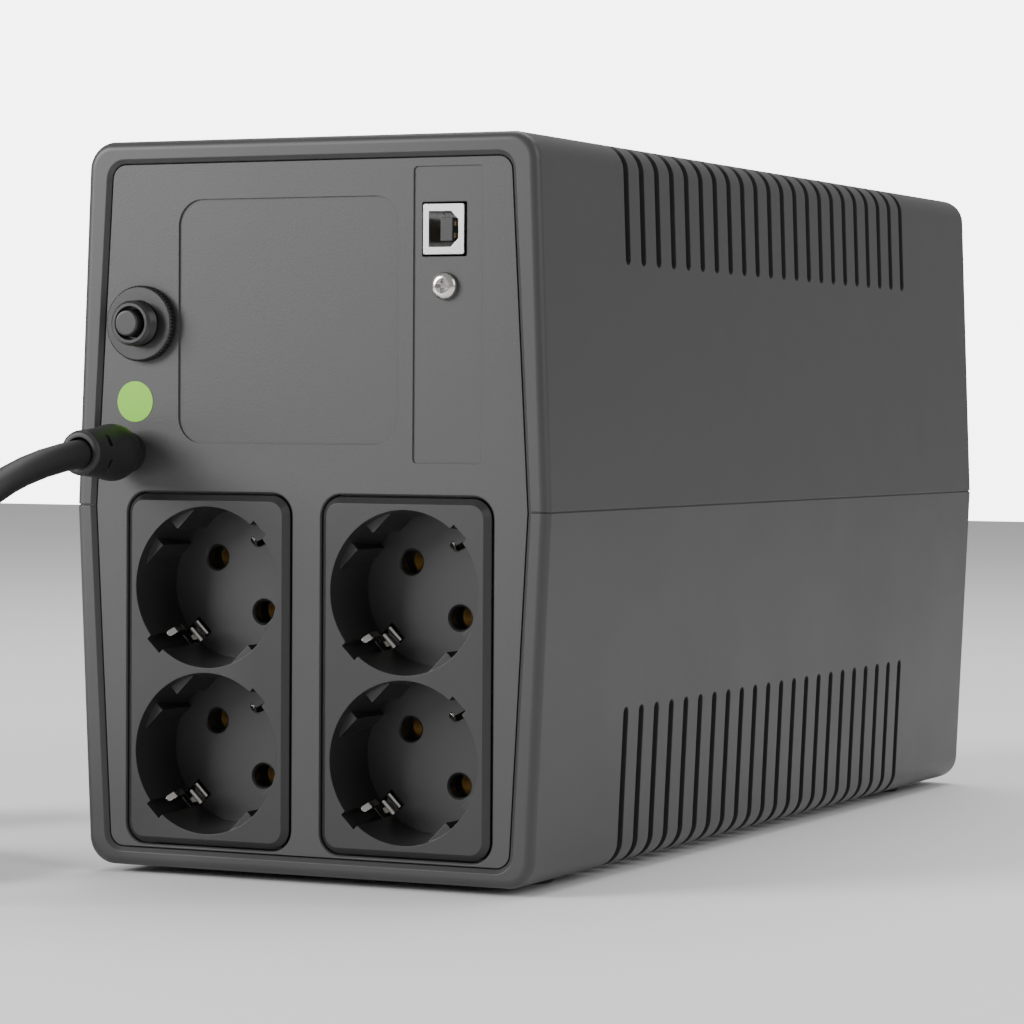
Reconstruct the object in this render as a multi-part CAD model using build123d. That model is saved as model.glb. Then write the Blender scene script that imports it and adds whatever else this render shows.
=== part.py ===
from build123d import *
import math
import os

# An uninterruptible power supply with four earthed outlets, built piece by piece.
# The case stands on the floor (z = 0) on four rubber feet. The front faces -Y and the outlets face +Y.
# All lengths are in millimetres and all angles in degrees.

os.makedirs("parts", exist_ok=True)

# ---- Case ----
case_length = 320.0
case_side_room = 18.0     # from the batteries to the outside of the case at its waist
top_lean = 3.5            # how far each side leans in from the waist to the roof
bottom_lean = 4.0
upper_panel_height = 86.8    # from the outlet openings to the roof
seam_rise = 89.5          # the seam's height above the underside of the case
case_wall = 2.5
corner_radius = 7.0       # the long edges along the roof and the floor
rear_edge_radius = 2.2
front_edge_radius = 4.0
seam_groove_depth = 0.35
seam_groove_height = 0.4
foot_height = 2.0
foot_radius = 8.0
foot_pocket_depth = 0.8
foot_side_distance = 21.0   # from a foot's centre to the side of the case at its waist
foot_end_distance = 32.0  # from a foot's centre to the nearer end of the case

# ---- Rims around the rear panel and the front panel ----
rim_thickness = 2.5
rim_bevel = 1.1
rim_bevel_depth = 0.9
rear_rim_top_side = 7.2
rear_rim_waist_side = 5.8
rear_rim_bottom_side = 6.5
rear_rim_top = 5.9
rear_rim_bottom = 4.9
front_rim_side = 7.0
front_rim_top = 7.0
front_rim_bottom = 7.0
panel_corner_radius = 3.5
panel_gap = 0.35
panel_thickness = 3.1
panel_flange_width = 2.0
panel_rib_height = 3.2
panel_rib_thickness = 2.0

# ---- Vents ----
vent_count = 22
vent_pitch = 9.78
vent_width = 3.2
vent_first_distance = 52.3   # from the rear of the case to the first slot's middle
vent_wrap = 20.0             # how far a slot runs on over the roof or under the floor
upper_vent_rise = 150.0      # lower tips of the upper slots, above the underside of the case
lower_vent_rise = 40.3       # upper tips of the lower slots, above the underside of the case

# ---- Case screws ----
column_radius = 4.5
column_side_distance = 12.0
rear_column_distance = 42.0
front_column_distance = 20.0
column_joint_rise = 98.0     # where the lower and upper columns meet, above the underside
column_floor = 8.0           # solid material under the joint, above the screw head
counterbore_radius = 3.4
screw_hole_radius = 2.1
case_screw_radius = 1.9
case_screw_head_radius = 3.1
case_screw_head_height = 2.4
case_screw_bite = 18.0
pilot_clearance = 0.05

# ---- Rear panel features: heights are above the outlet openings, distances are from the side at the waist ----
panel_hole_clearance = 0.3
label_side_distance = 29.0
label_low_height = 12.1
label_height = 60.0
label_corner_radius = 6.5
label_depth = 0.45
label_strip_distance = 3.9   # from the label recess to the port strip
strip_side_distance = 17.8
strip_width = 18.5
strip_low_height = 7.8
strip_height = 71.1
strip_corner_radius = 1.0
strip_depth = 0.35
sticker_side_distance = 16.7
sticker_height = 22.3
sticker_radius = 5.05
sticker_thickness = 0.12

# ---- Outlet modules ----
module_x = 27.2
module_low_rise = 5.6        # from the underside of the case to the outlet openings
module_opening_width = 46.3
module_opening_height = 87.6
module_gap = 0.55
module_corner_radius = 5.4
module_bevel = 1.5
module_proud = 1.3
opening_lip = 0.35
module_flange_width = 1.8
module_flange_thickness = 2.0
socket_pitch = 41.0
recess_radius = 19.9
recess_floor_radius = 18.55   # the recess narrows towards its floor
recess_depth = 17.5
cup_wall = 1.1
shoulder_distance = 17.05    # from the recess's axis to the flat guide shoulders
shoulder_depth = 3.2
shoulder_slot_width = 5.8
clip_notch_width = 4.8
clip_notch_reach = 21.1
pin_spacing = 19.0
pin_axis_angle = 135.0       # seen from behind the case, anticlockwise from the right
pin_hole_radius = 2.9
pin_hole_bevel = 0.5
socket_floor_thickness = 3.5
socket_floor_edge = 1.2      # how far the floor disc reaches under the cup wall
housing_depth = 16.0
housing_wall = 1.8
cover_thickness = 1.5
contact_strip_width = 5.0
contact_strip_thickness = 0.8
contact_sleeve_radius = 3.3
contact_sleeve_bore = 2.75
contact_back_gap = 4.0       # from a sleeve's mouth to the socket floor
earth_clip_width = 4.4
earth_tongue_width = 1.6
earth_strip_thickness = 0.5
earth_root_radius = 15.3     # from the recess's axis to where the strip comes through the floor
earth_back_radius = 19.4     # from the recess's axis to the back of the roll
earth_fold_width = 1.2
earth_fold_depth = 2.5
earth_roll_width = 1.65
earth_slot_room = 0.7
earth_bend = 0.5
earth_roll_bend = 0.8
earth_tongue_path = ((0.25, 0.8), (-2.6, 6.5), (-4.65, 10.5), (-4.1, 12.9), (-2.2, 15.3))
earth_tongue_bends = (1.5, 3.0, 2.0, 2.0)   # at the tongue's corners, from its root to its tip
earth_tip_round = 0.7
ear_width = 6.0
ear_screw_radius = 1.3
ear_screw_head_radius = 2.3
ear_screw_head_height = 1.4
ear_screw_bite = 2.2

# ---- Communications port ----
usb_side_distance = 28.2
usb_middle_height = 63.8
usb_width = 10.8
usb_height = 12.0
usb_depth = 15.0
usb_opening_width = 7.9
usb_opening_height = 8.6
usb_opening_depth = 12.6
usb_corner_cut = 2.0
usb_gap = 0.55
usb_proud = 0.2
usb_tongue_width = 3.2
usb_tongue_height = 5.6
usb_tongue_setback = 1.6
usb_contact_width = 1.1
usb_contact_thickness = 0.25
board_thickness = 1.6
comms_board_length = 33.0
comms_board_height = 34.0
port_screw_shift = 0.3       # the screw's place beside the port's middle
port_screw_drop = 13.6       # how far the screw is below the port
port_screw_radius = 1.5
port_screw_head_radius = 3.35
port_screw_head_height = 1.9
port_screw_length = 8.0
port_screw_slot = 0.95
bracket_thickness = 1.2

# ---- Circuit breaker ----
breaker_side_distance = 19.0
breaker_height = 41.6
breaker_bush_radius = 5.6
breaker_bush_front = 6.8     # how far the threaded bush stands out of the panel
bush_mouth_radius = 4.2
bush_mouth_depth = 3.0
bush_bevel = 0.7
thread_pitch = 1.0
thread_depth = 0.35
thread_count = 6
nut_radius = 9.4
nut_height = 2.6
nut_clearance = 0.1
nut_knurls = 64
nut_knurl_radius = 0.3
nut_bevel = 0.5
plunger_radius = 3.2
plunger_clearance = 0.3
plunger_stand = 1.7          # how far the reset plunger stands out of the bush
plunger_stem = 16.0
plunger_travel = 3.5
breaker_body_width = 15.0
breaker_body_height = 24.0
breaker_body_depth = 25.0
tab_width = 6.3
tab_thickness = 0.8
tab_length = 8.0

# ---- Cord gland ----
gland_side_distance = 14.7
gland_height = 9.7
gland_neck_radius = 5.0
gland_neck_length = 2.2
gland_sections = ((4.7, 6.3), (7.7, 7.07), (11.2, 6.65), (14.8, 6.15), (19.0, 5.8))   # distance and radius
gland_end_radius = 5.5
gland_length = 23.3
gland_end_round = 1.2
gland_inner_flange = 6.8
gland_inner_thickness = 3.0
gland_slot_distance = 17.2   # from the panel to the middle of the slots
gland_slot_width = 1.6
gland_slot_floor = 3.9       # from the gland's axis to the flat floor of a slot
gland_slot_bridge = 3.3

# ---- Mains cord, coil and plug ----
cord_diameter = 7.0
coil_x = 128.0
coil_y = 185.5
coil_turn_radius = 38.5
coil_columns = 3
coil_layers = 2
coil_edge_radius = 3.2
tie_clearance = 0.3
tie_thickness = 1.0
tie_width = 12.0
tie_angle = 215.0
plug_radius = 18.4
plug_relief_radius = 6.0
plug_relief_length = 26.0
plug_grip_length = 16.0
plug_face_length = 17.0
plug_pin_radius = 2.4
plug_pin_length = 19.0
plug_pin_root = 4.0
plug_bevel = 1.2
plug_groove_width = 6.2
plug_groove_depth = 3.0
plug_strip_width = 4.6
plug_strip_thickness = 0.6
plug_strip_length = 13.0

# ---- Batteries ----
battery_count = 2
battery_height = 151.0       # standing on end
battery_width = 94.0
battery_depth = 65.0
battery_space = 0.5
battery_pad = 2.0
battery_edge_radius = 2.0
battery_lid = 6.0
battery_lid_groove = 0.5
battery_front_distance = 27.0   # from the front of the case to the first battery
terminal_height = 5.5
terminal_width = 4.75
terminal_thickness = 0.8
terminal_inset = 12.0
strap_thickness = 1.2
strap_width = 20.0
strap_foot_length = 5.4
plain_screw_radius = 1.5
plain_screw_head_radius = 2.7
plain_screw_head_height = 1.8
plain_screw_bite = 1.8

# ---- Transformer ----
core_width = 96.0
core_height = 80.0
core_stack = 50.0
core_leg = 16.0
core_rear_distance = 78.0    # from the rear of the case to the core
winding_clearance = 0.3
winding_build = 15.4
winding_edge_radius = 4.0
base_thickness = 2.0
base_flange_height = 12.0
base_overhang = 10.0
core_bolt_radius = 2.0
core_bolt_head_radius = 3.6
core_bolt_head_height = 2.6
core_bolt_clearance = 0.2

# ---- Main board ----
board_width = 94.0
board_length = 120.0
board_rise = 121.4           # underside of the board above the underside of the case
board_rear_distance = 36.0
board_boss_radius = 3.5
board_boss_x = 34.0
board_boss_inset = 6.0
sink_length = 56.0
sink_height = 30.0
sink_plate = 3.0
sink_fin_count = 5
sink_fin_length = 12.0
sink_fin_thickness = 1.2
sink_x = 20.0
transistor_count = 4
relay_count = 3
relay_size = (15.5, 19.0, 15.0)
capacitor_radius = 8.0
capacitor_height = 25.0
fuse_radius = 2.6
fuse_length = 20.0
fuse_front_distance = 30.0   # from the middle of the board towards the front
buzzer_radius = 6.0
buzzer_height = 9.0
buzzer_front_inset = 17.5

# ---- Front panel ----
window_width = 64.0
window_height = 38.0
window_rise = 137.0
window_thickness = 1.6
window_corner_radius = 3.0
window_gap = 0.15
window_step = 1.5
button_radius = 8.0
button_rise = 102.0
button_clearance = 0.35
button_proud = 1.0
button_flange_radius = 9.2
button_flange_thickness = 1.0
button_travel = 1.5
button_stem_radius = 2.0
button_ring_width = 2.6
button_ring_depth = 0.6
front_board_width = 78.0
front_board_height = 70.0
front_board_gap = 11.0
front_post_radius = 3.0
front_screw_bite = 6.0
switch_size = 6.0
lamp_radius = 1.5
lamp_spacing = 11.0
lamp_rise = 84.0
lamp_count = 3
groove_count = 3
groove_width = 1.2
groove_depth = 0.6
groove_pitch = 7.0
groove_rise = 40.0

# ---- Levels and planes that follow from these sizes ----
waist_width = battery_width + 2 * case_side_room
top_width = waist_width - 2 * top_lean
bottom_width = waist_width - 2 * bottom_lean
waist_half = waist_width / 2
case_bottom = foot_height
module_top_z = case_bottom + module_low_rise + module_opening_height
case_top = module_top_z + upper_panel_height
seam_z = foot_height + seam_rise
floor_z = case_bottom + case_wall
roof_z = case_top - case_wall
rear_standout = gland_length - rim_bevel_depth
front_standout = button_proud - rim_bevel_depth
case_middle_y = (front_standout - rear_standout) / 2    # so the whole part is centred on y = 0
rear_y = case_middle_y + case_length / 2
front_y = case_middle_y - case_length / 2
panel_y = rear_y - rim_bevel_depth
panel_back_y = panel_y - panel_thickness
front_panel_y = front_y + rim_bevel_depth
front_panel_back_y = front_panel_y + panel_thickness
module_face_y = panel_y + module_proud
module_z = module_top_z - module_opening_height / 2
socket_floor_y = module_face_y - recess_depth
socket_back_y = socket_floor_y - socket_floor_thickness
housing_back_y = socket_back_y - housing_depth + cover_thickness
cover_back_y = housing_back_y - cover_thickness
socket_heights = (module_z + socket_pitch / 2, module_z - socket_pitch / 2)
pin_offset = pin_spacing / 2 * math.cos(math.radians(45))


def block(x, y, z):
    """A block between the low and high bounds of each direction."""
    size = [high - low for low, high in (x, y, z)]
    middle = [(high + low) / 2 for low, high in (x, y, z)]
    return Pos(*middle) * Box(*size)


def rod(radius, start, end):
    """A round bar between two points."""
    direction = Vector(*end) - Vector(*start)
    place = Plane(origin=start, z_dir=direction)
    return place * Cylinder(radius, direction.length, align=(Align.CENTER, Align.CENTER, Align.MIN))


def turned(face, x, z):
    """A face drawn as radius and y, turned about the line along the case through x and z."""
    place = Plane(origin=(x, 0, z), x_dir=(1, 0, 0), z_dir=(0, 0, 1))
    return revolve(place * face, Axis((x, 0, z), (0, 1, 0)))


def along_y(sketch, y_low, y_high):
    """A sketch drawn in x and z, made solid between two places along the case."""
    placed = Pos(0, y_low, 0) * (Plane.XZ * sketch)
    return extrude(placed, amount=y_high - y_low, dir=(0, 1, 0))


def rounded_block(width, height, radius, x, z, y_low, y_high):
    """A block with rounded corners, seen from behind the case, between two places along it."""
    return along_y(Pos(x, z) * RectangleRounded(width, height, radius), y_low, y_high)


def case_half_width(z):
    """Half the outside width of the case at a height: widest at the seam, narrower above and below."""
    if z >= seam_z:
        share = (z - seam_z) / (case_top - seam_z)
        return (waist_width + (top_width - waist_width) * share) / 2
    share = (seam_z - z) / (seam_z - case_bottom)
    return (waist_width + (bottom_width - waist_width) * share) / 2


def shell_profile(end_z, inset, radius):
    """Cross-section of one shell from the seam to the roof or the floor, with its far corners rounded."""
    seam_half = case_half_width(seam_z) - inset
    end_half = case_half_width(end_z) - inset
    outline = [(-seam_half, seam_z), (seam_half, seam_z), (end_half, end_z), (-end_half, end_z)]
    face = make_face(Polyline(*outline, close=True))
    far_corners = [v for v in face.vertices() if abs(v.Y - end_z) < 0.001]
    return fillet(far_corners, radius)


def panel_outline(top_side, waist_side, bottom_side, top, bottom, grow):
    """Outline of an end panel: the case's own outline less the width of the rim, grown evenly."""
    top_z = case_top - top
    bottom_z = case_bottom + bottom
    top_half = case_half_width(top_z) - top_side
    waist_half = case_half_width(seam_z) - waist_side
    bottom_half = case_half_width(bottom_z) - bottom_side
    right = [(bottom_half, bottom_z), (waist_half, seam_z), (top_half, top_z)]
    left = [(-x, z) for x, z in reversed(right)]
    face = make_face(Polyline(*right, *left, close=True))
    corners = [v for v in face.vertices() if abs(v.Y - seam_z) > 0.001]
    face = fillet(corners, panel_corner_radius)
    return offset(face, amount=grow, kind=Kind.INTERSECTION) if grow else face


def rear_outline(grow=0.0):
    """Outline of the rear panel, grown evenly."""
    return panel_outline(rear_rim_top_side, rear_rim_waist_side, rear_rim_bottom_side,
                         rear_rim_top, rear_rim_bottom, grow)


def front_outline(grow=0.0):
    """Outline of the front panel, grown evenly."""
    return panel_outline(front_rim_side, front_rim_side, front_rim_side,
                         front_rim_top, front_rim_bottom, grow)


def rim_opening(outline, outer_y, inward):
    """The hole through a rim: straight at the panel's edge, then a bevel that widens to the outside."""
    inner_y = outer_y + inward * (rim_thickness + 1)
    bevel_y = outer_y + inward * rim_bevel_depth
    straight = along_y(outline(panel_gap), min(inner_y, outer_y), max(inner_y, outer_y))
    narrow = Pos(0, bevel_y, 0) * (Plane.XZ * outline(panel_gap))
    wide = Pos(0, outer_y, 0) * (Plane.XZ * outline(panel_gap + rim_bevel))
    return straight + loft([narrow, wide])


def hollow_shell(end_z, end_inner_z):
    """One half of the case: a tray with rounded long edges, open at the seam and framed at both ends."""
    outer = along_y(shell_profile(end_z, 0, corner_radius), front_y, rear_y)
    for end_y, radius in ((rear_y, rear_edge_radius), (front_y, front_edge_radius)):
        edges = [
            e for e in outer.edges()
            if abs(e.center().Y - end_y) < 0.001 and abs(e.center().Z - seam_z) > 0.001
        ]
        outer = fillet(edges, radius)
    inner_profile = shell_profile(end_inner_z, case_wall, corner_radius - case_wall)
    cavity = along_y(inner_profile, front_y + rim_thickness, rear_y - rim_thickness)
    shell = outer - cavity
    shell -= rim_opening(rear_outline, rear_y, -1)
    shell -= rim_opening(front_outline, front_y, 1)
    return shell


def vent_cutters(tip_z, end_z):
    """Slots that run from their tips, over the long edge and on across the roof or the floor."""
    outward = 1 if end_z > tip_z else -1
    past_z = end_z + outward * 2
    inner_z = end_z - outward * (corner_radius + 1)
    inner_x = case_half_width(end_z) - vent_wrap
    wall_x = case_half_width(end_z) - corner_radius
    outer_x = waist_width / 2 + 1
    radius = vent_width / 2
    cutters = []
    for index in range(vent_count):
        y = rear_y - vent_first_distance - index * vent_pitch
        y_span = (y - radius, y + radius)
        for side in (1, -1):
            side_x = sorted((side * wall_x, side * outer_x))
            tip_middle = tip_z + outward * radius
            cutters.append(block(side_x, y_span, sorted((tip_middle, past_z))))
            cutters.append(rod(radius, (side * wall_x, y, tip_middle), (side * outer_x, y, tip_middle)))
            end_x = side * (inner_x + radius)
            cutters.append(block(sorted((end_x, side * outer_x)), y_span, sorted((inner_z, past_z))))
            cutters.append(rod(radius, (end_x, y, inner_z), (end_x, y, past_z)))
    return cutters


def seam_groove():
    """A shallow groove all round the lower edge of the upper shell, which shows as the seam line."""
    z = (seam_z, seam_z + seam_groove_height)
    half = waist_width / 2 - seam_groove_depth
    outside = block((-waist_width, waist_width), (-case_length, case_length), z)
    inside = block((-half, half), (front_y + seam_groove_depth, rear_y - seam_groove_depth), z)
    rear_edges = inside.edges().filter_by(Axis.Z).group_by(Axis.Y)[-1]
    inside = fillet(rear_edges, rear_edge_radius - seam_groove_depth)
    front_edges = inside.edges().filter_by(Axis.Z).group_by(Axis.Y)[0]
    inside = fillet(front_edges, front_edge_radius - seam_groove_depth)
    return outside - inside


column_places = [
    (side * (waist_half - column_side_distance), y)
    for side in (1, -1)
    for y in (rear_y - rear_column_distance, front_y + front_column_distance)
]
column_joint_z = case_bottom + column_joint_rise
screw_seat_z = column_joint_z - column_floor


def panel_ribs(end_inner_z):
    """Ribs inside one shell that hold the rear panel's flange against the rim."""
    back_y = panel_back_y - panel_rib_thickness
    profile = shell_profile(end_inner_z, case_wall, corner_radius - case_wall)
    ring = along_y(profile, back_y, panel_back_y)
    return ring - along_y(rear_outline(panel_flange_width - panel_rib_height), back_y - 1, panel_back_y + 1)


# ---- The two shells of the case ----
tongue_thickness = 1.0
tongue_height = 2.0
tongue_clearance = 0.15
tongue_end_gap = 30.0


def tongue(side, extra):
    """The lip on the lower shell that fits inside the upper shell's wall, or the room for it."""
    inner_x = waist_width / 2 - case_wall
    x = sorted((side * (inner_x - extra * 3), side * (inner_x + tongue_thickness + extra)))
    y = (front_y + tongue_end_gap - extra, rear_y - tongue_end_gap + extra)
    return block(x, y, (seam_z, seam_z + tongue_height + extra))


def make_upper_shell():
    shell = hollow_shell(case_top, roof_z)
    shell -= vent_cutters(case_bottom + upper_vent_rise, case_top)
    shell -= seam_groove()
    shell += panel_ribs(roof_z)
    shell -= [tongue(side, tongue_clearance) for side in (1, -1)]
    for x, y in column_places:
        shell += rod(column_radius, (x, y, column_joint_z), (x, y, roof_z + case_wall / 2))
        pilot_top = column_joint_z + case_screw_bite + 1
        shell -= rod(case_screw_radius + pilot_clearance, (x, y, column_joint_z - 1), (x, y, pilot_top))
    for x, y in board_boss_places:
        shell += rod(board_boss_radius, (x, y, board_top_z), (x, y, roof_z + case_wall / 2))
        pilot_top = board_top_z + plain_screw_bite + 4
        shell -= rod(plain_screw_radius + pilot_clearance, (x, y, board_top_z - 1), (x, y, pilot_top))
    return shell


def make_lower_shell():
    shell = hollow_shell(case_bottom, floor_z)
    shell -= vent_cutters(case_bottom + lower_vent_rise, case_bottom)
    ribs = panel_ribs(floor_z)
    module_room = module_x + module_opening_width / 2 + module_flange_width + 1
    ribs -= block((-module_room, module_room), (front_y, rear_y), (0, seam_z))
    shell += ribs
    shell += [tongue(side, 0) for side in (1, -1)]
    for x, y in column_places:
        shell += rod(column_radius, (x, y, floor_z - case_wall / 2), (x, y, column_joint_z))
        shell -= rod(counterbore_radius, (x, y, case_bottom - 1), (x, y, screw_seat_z))
        shell -= rod(screw_hole_radius, (x, y, screw_seat_z - 1), (x, y, column_joint_z + 1))
    for x, y in foot_places:
        shell -= rod(foot_radius + panel_gap, (x, y, case_bottom - 1), (x, y, case_bottom + foot_pocket_depth))
    for x, y in strap_screw_places + base_screw_places:
        shell -= rod(plain_screw_radius + pilot_clearance, (x, y, floor_z - plain_screw_bite), (x, y, floor_z + 1))
    return shell


foot_places = [
    (side * (waist_half - foot_side_distance), y)
    for side in (1, -1)
    for y in (rear_y - foot_end_distance, front_y + foot_end_distance)
]


def make_feet():
    feet = []
    for x, y in foot_places:
        foot = rod(foot_radius, (x, y, 0), (x, y, case_bottom + foot_pocket_depth))
        feet.append(chamfer(foot.edges().group_by(Axis.Z)[0], 0.6))
    return feet


def make_case_screws():
    screws = []
    for x, y in column_places:
        head = rod(case_screw_head_radius, (x, y, screw_seat_z - case_screw_head_height), (x, y, screw_seat_z))
        shank = rod(case_screw_radius, (x, y, screw_seat_z), (x, y, column_joint_z + case_screw_bite))
        screws.append(head + shank)
    return screws


# ---- Rear panel ----
strip_x = strip_side_distance + strip_width / 2 - waist_half
strip_z = module_top_z + strip_low_height + strip_height / 2
label_left = waist_half - label_side_distance
label_right = strip_x + strip_width / 2 + label_strip_distance
label_x = (label_left + label_right) / 2
label_z = module_top_z + label_low_height + label_height / 2
usb_x = usb_side_distance - waist_half
usb_z = module_top_z + usb_middle_height
port_screw_x = usb_x - port_screw_shift
port_screw_z = usb_z - port_screw_drop
breaker_x = waist_half - breaker_side_distance
breaker_z = module_top_z + breaker_height
gland_x = waist_half - gland_side_distance
gland_z = module_top_z + gland_height
sticker_x = waist_half - sticker_side_distance
sticker_z = module_top_z + sticker_height
ear_places = [(side, module_z + side * 6 + end * 24) for side in (1, -1) for end in (1, -1)]


def make_rear_panel():
    panel = along_y(rear_outline(), panel_back_y, panel_y)
    panel += along_y(rear_outline(panel_flange_width), panel_back_y, rear_y - rim_thickness)
    panel -= rounded_block(label_left - label_right, label_height, label_corner_radius,
                           label_x, label_z, panel_y - label_depth, panel_y + 1)
    panel -= rounded_block(strip_width, strip_height, strip_corner_radius,
                           strip_x, strip_z, panel_y - strip_depth, panel_y + 1)
    for side in (1, -1):
        opening = rounded_block(module_opening_width, module_opening_height, module_corner_radius,
                                side * module_x, module_z, panel_back_y - 1, panel_y + 1)
        panel -= opening
    lip_edges = [
        e for e in panel.edges()
        if abs(e.center().Y - panel_y) < 0.001
        and abs(abs(e.center().X) - module_x) < module_opening_width / 2 + 0.01
        and abs(e.center().Z - module_z) < module_opening_height / 2 + 0.01
        and abs(e.center().X) > 1
    ]
    panel = chamfer(lip_edges, opening_lip)
    panel -= rounded_block(usb_width + 2 * usb_gap, usb_height + 2 * usb_gap, 0.4,
                           usb_x, usb_z, panel_back_y - 1, panel_y + 1)
    round_holes = [
        (port_screw_x, port_screw_z, port_screw_radius + panel_hole_clearance),
        (breaker_x, breaker_z, breaker_bush_radius + panel_hole_clearance),
        (gland_x, gland_z, gland_neck_radius),
    ]
    for x, z, radius in round_holes:
        panel -= rod(radius, (x, panel_back_y - 1, z), (x, panel_y + 1, z))
    for side, z in ear_places:
        screw = ear_screw_radius + pilot_clearance
        panel -= rod(screw, (0, panel_back_y - 1, z), (0, panel_back_y + ear_screw_bite + 0.2, z))
    return panel


def make_test_sticker():
    return rod(sticker_radius, (sticker_x, panel_y, sticker_z), (sticker_x, panel_y + sticker_thickness, sticker_z))


# ---- Outlet modules ----
cup_radius = clip_notch_reach + cup_wall
housing_width = 2 * cup_radius
housing_height = housing_width + socket_pitch
floor_radius = recess_radius + socket_floor_edge - 0.15
flange_y = panel_back_y - module_flange_thickness


def socket_place(x, z, y):
    """A plane on a socket's axis: its x runs to the right as seen from behind, and its z points outwards."""
    return Plane(origin=(x, y, z), x_dir=(-1, 0, 0), z_dir=(0, 1, 0))


def recess_cut(x, z):
    """The room inside one socket: a round recess with two pairs of guide shoulders and two clip notches."""
    place = socket_place(x, z, module_face_y)
    depth = recess_depth + 0.01
    draft = (recess_radius - recess_floor_radius) / recess_depth
    room = Pos(0, 0, 0.5 - depth / 2) * Cone(recess_floor_radius, recess_radius + draft, depth + 1)
    for angle in (pin_axis_angle, pin_axis_angle + 180):
        shoulder = Pos(shoulder_distance + 5, 0, -shoulder_depth - depth / 2) * Box(10, 2 * recess_radius, depth)
        slot = Box(4 * recess_radius, shoulder_slot_width, 4 * depth)
        room -= Rot(0, 0, angle) * (shoulder - slot)
    for angle in (pin_axis_angle - 90, pin_axis_angle + 90):
        reach = clip_notch_reach - recess_radius + 3
        notch = Pos(clip_notch_reach - reach / 2, 0, 0.5 - depth / 2) * Box(reach, clip_notch_width, depth + 1)
        room += Rot(0, 0, angle) * notch
    return place * room


def make_outlet_frame(side):
    x = side * module_x
    width = module_opening_width - 2 * module_gap
    height = module_opening_height - 2 * module_gap
    boss = rounded_block(width, height, module_corner_radius - module_gap, x, module_z, flange_y, module_face_y)
    boss = chamfer(boss.faces().sort_by(Axis.Y)[-1].edges(), module_bevel)
    flange = rounded_block(module_opening_width + 2 * module_flange_width,
                           module_opening_height + 2 * module_flange_width,
                           module_corner_radius, x, module_z, flange_y, panel_back_y)
    frame = boss + flange
    flange_edge = module_x - module_opening_width / 2 - module_flange_width
    for ear_side, z in ear_places:
        if ear_side == side:
            ear_x = sorted((side * (flange_edge + 1), -side * (flange_edge - 0.15)))
            frame += block(ear_x, (flange_y, panel_back_y), (z - ear_width / 2, z + ear_width / 2))
            hole = ear_screw_radius + 0.1
            frame -= rod(hole, (0, flange_y - 1, z), (0, panel_back_y + 1, z))
    for z in socket_heights:
        frame += rod(cup_radius, (x, socket_floor_y, z), (x, flange_y + 0.5, z))
    for z in socket_heights:
        frame -= recess_cut(x, z)
    return frame


def make_ear_screws():
    screws = []
    for _, z in ear_places:
        head = rod(ear_screw_head_radius, (0, flange_y - ear_screw_head_height, z), (0, flange_y, z))
        screws.append(head + rod(ear_screw_radius, (0, flange_y, z), (0, panel_back_y + ear_screw_bite, z)))
    return screws


def pin_places(z):
    """Where the two pins of one socket lie, as steps in x and z from the socket's axis."""
    return [(pin_offset, z + pin_offset), (-pin_offset, z - pin_offset)]


def make_socket_floors(side):
    floors = []
    slot_inner = earth_root_radius - earth_strip_thickness / 2 - earth_slot_room
    slot_outer = earth_back_radius + earth_strip_thickness / 2 + panel_gap
    for z in socket_heights:
        x = side * module_x
        disc = rod(floor_radius, (x, socket_back_y, z), (x, socket_floor_y, z))
        for step, pin_z in pin_places(z):
            hole_x = x + step
            disc -= rod(pin_hole_radius, (hole_x, socket_back_y - 1, pin_z), (hole_x, socket_floor_y + 1, pin_z))
            mouth = Plane(origin=(hole_x, socket_floor_y, pin_z), z_dir=(0, -1, 0))
            disc -= mouth * Cone(pin_hole_radius + pin_hole_bevel, pin_hole_radius, pin_hole_bevel,
                                 align=(Align.CENTER, Align.CENTER, Align.MIN))
        place = socket_place(x, z, socket_floor_y)
        for angle in (pin_axis_angle - 90, pin_axis_angle + 90):
            slot = Box(slot_outer - slot_inner, earth_clip_width + 2 * panel_gap, 3 * socket_floor_thickness)
            disc -= place * (Rot(0, 0, angle) * (Pos((slot_outer + slot_inner) / 2, 0, 0) * slot))
        floors.append(disc)
    return floors


def make_contact_housing(side):
    x = side * module_x
    housing = rounded_block(housing_width, housing_height, module_corner_radius, x, module_z,
                            housing_back_y, socket_floor_y)
    for z in socket_heights:
        housing -= rod(floor_radius + 0.05, (x, socket_back_y, z), (x, socket_floor_y + 1, z))
        housing -= rod(floor_radius - housing_wall, (x, housing_back_y - 1, z), (x, socket_back_y + 1, z))
    channel = pin_offset + contact_strip_width
    channel_top = housing_back_y + contact_strip_thickness + 2
    housing -= block((x - channel, x + channel), (housing_back_y - 1, channel_top),
                     (socket_heights[1], socket_heights[0]))
    return housing


def make_contact_cover(side):
    return rounded_block(housing_width, housing_height, module_corner_radius, side * module_x, module_z,
                         cover_back_y, housing_back_y)


def make_pin_contacts(side):
    """Two contact strips for one module, each with a sleeve behind one pin hole of both sockets."""
    strips = []
    strip_front_y = housing_back_y + contact_strip_thickness
    for index in (0, 1):
        places = [pin_places(z)[index] for z in socket_heights]
        x = side * module_x + places[0][0]
        ends = sorted(z for _, z in places)
        half = contact_strip_width / 2
        strip = block((x - half, x + half), (housing_back_y, strip_front_y),
                      (ends[0] - contact_sleeve_radius, ends[1] + contact_sleeve_radius))
        for _, z in places:
            mouth_y = socket_back_y - contact_back_gap
            strip += rod(contact_sleeve_radius, (x, strip_front_y - 0.2, z), (x, mouth_y, z))
            strip -= rod(contact_sleeve_bore, (x, strip_front_y, z), (x, mouth_y + 1, z))
        strips.append(strip)
    return strips


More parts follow.
